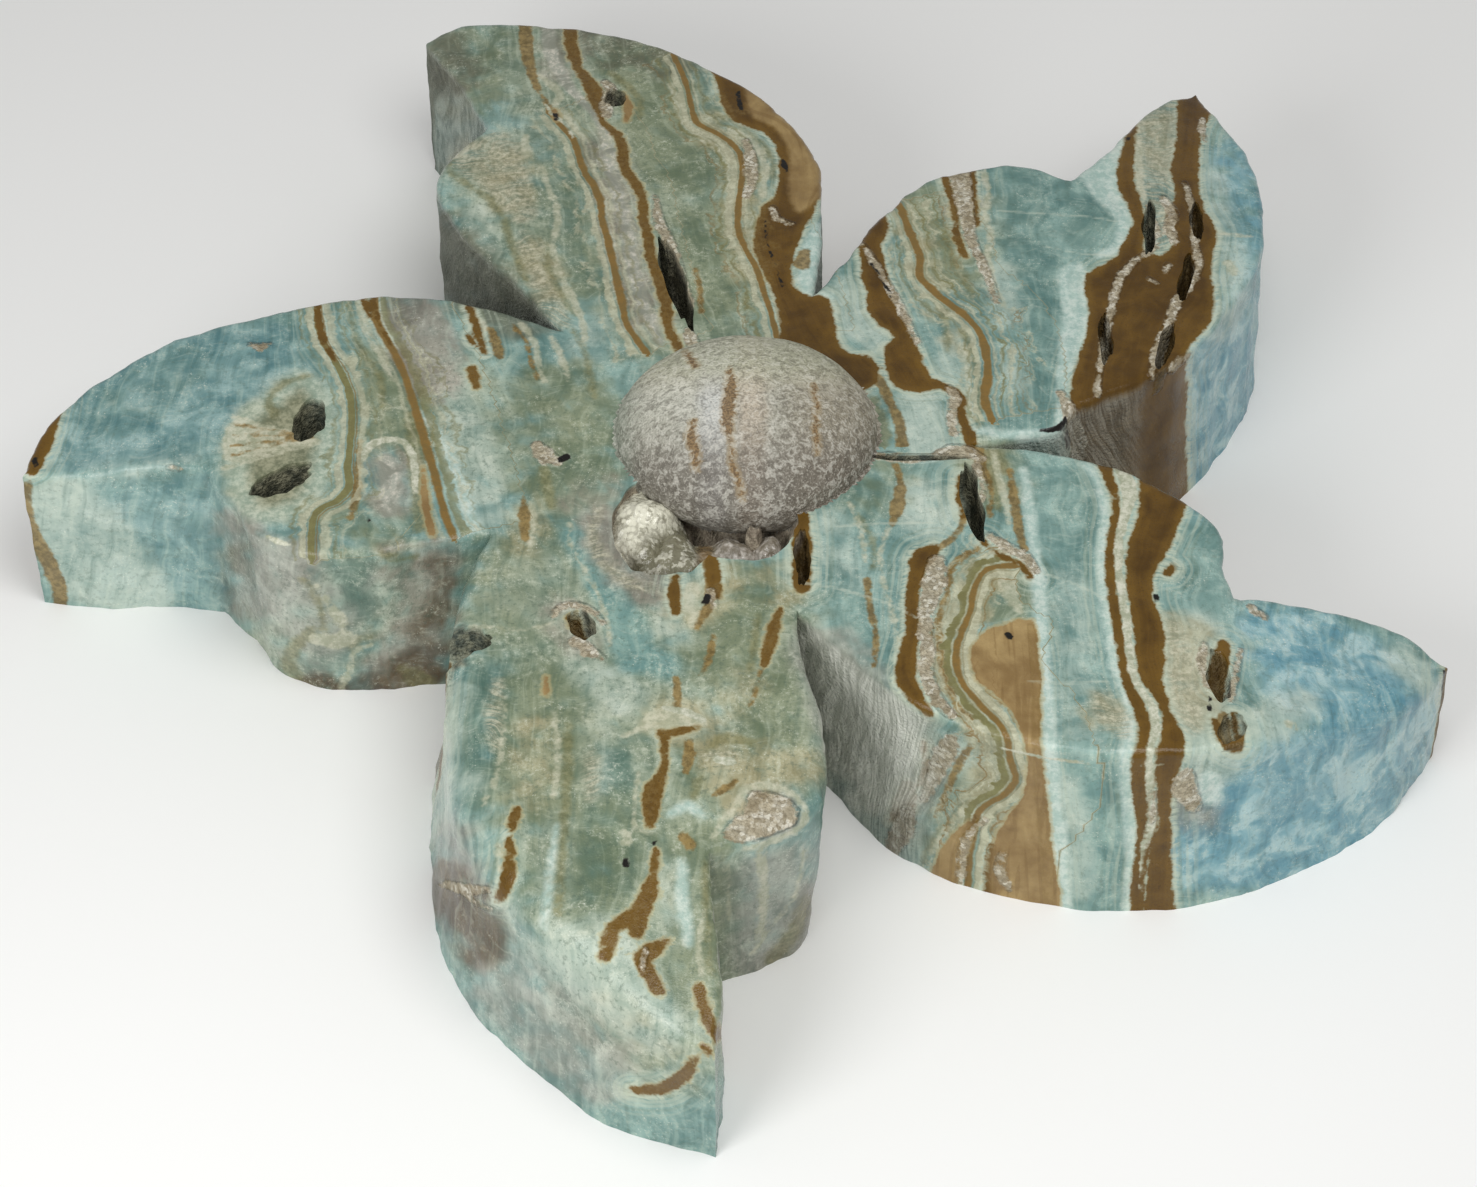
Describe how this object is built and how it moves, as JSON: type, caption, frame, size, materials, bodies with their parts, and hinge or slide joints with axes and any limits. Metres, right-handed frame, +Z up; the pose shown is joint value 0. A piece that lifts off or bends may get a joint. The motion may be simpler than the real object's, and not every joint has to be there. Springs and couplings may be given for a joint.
{
  "type": "carved banded stone flower",
  "caption": "Flat pinwheel flower carved from one slab of banded blue-green and brown stone, with a raised domed centre over a crystal-lined hollow; rests flat as an ornament.",
  "frame": {"origin": "point of the flat underside under the middle of the flower", "axes": "+Z up through the domed centre, -Y towards the front petal, +X towards the right front petal"},
  "size_m": [0.1594, 0.158, 0.0311],
  "materials": {
    "banded_stone": "banded blue-green, white and brown stone; tops polished, side walls partly left as ground",
    "crystals": "fine sparkling off-white crystals"
  },
  "bodies": {
    "root": {"flower": "banded_stone", "crystal_crust": "crystals"}
  },
  "joints": []
}
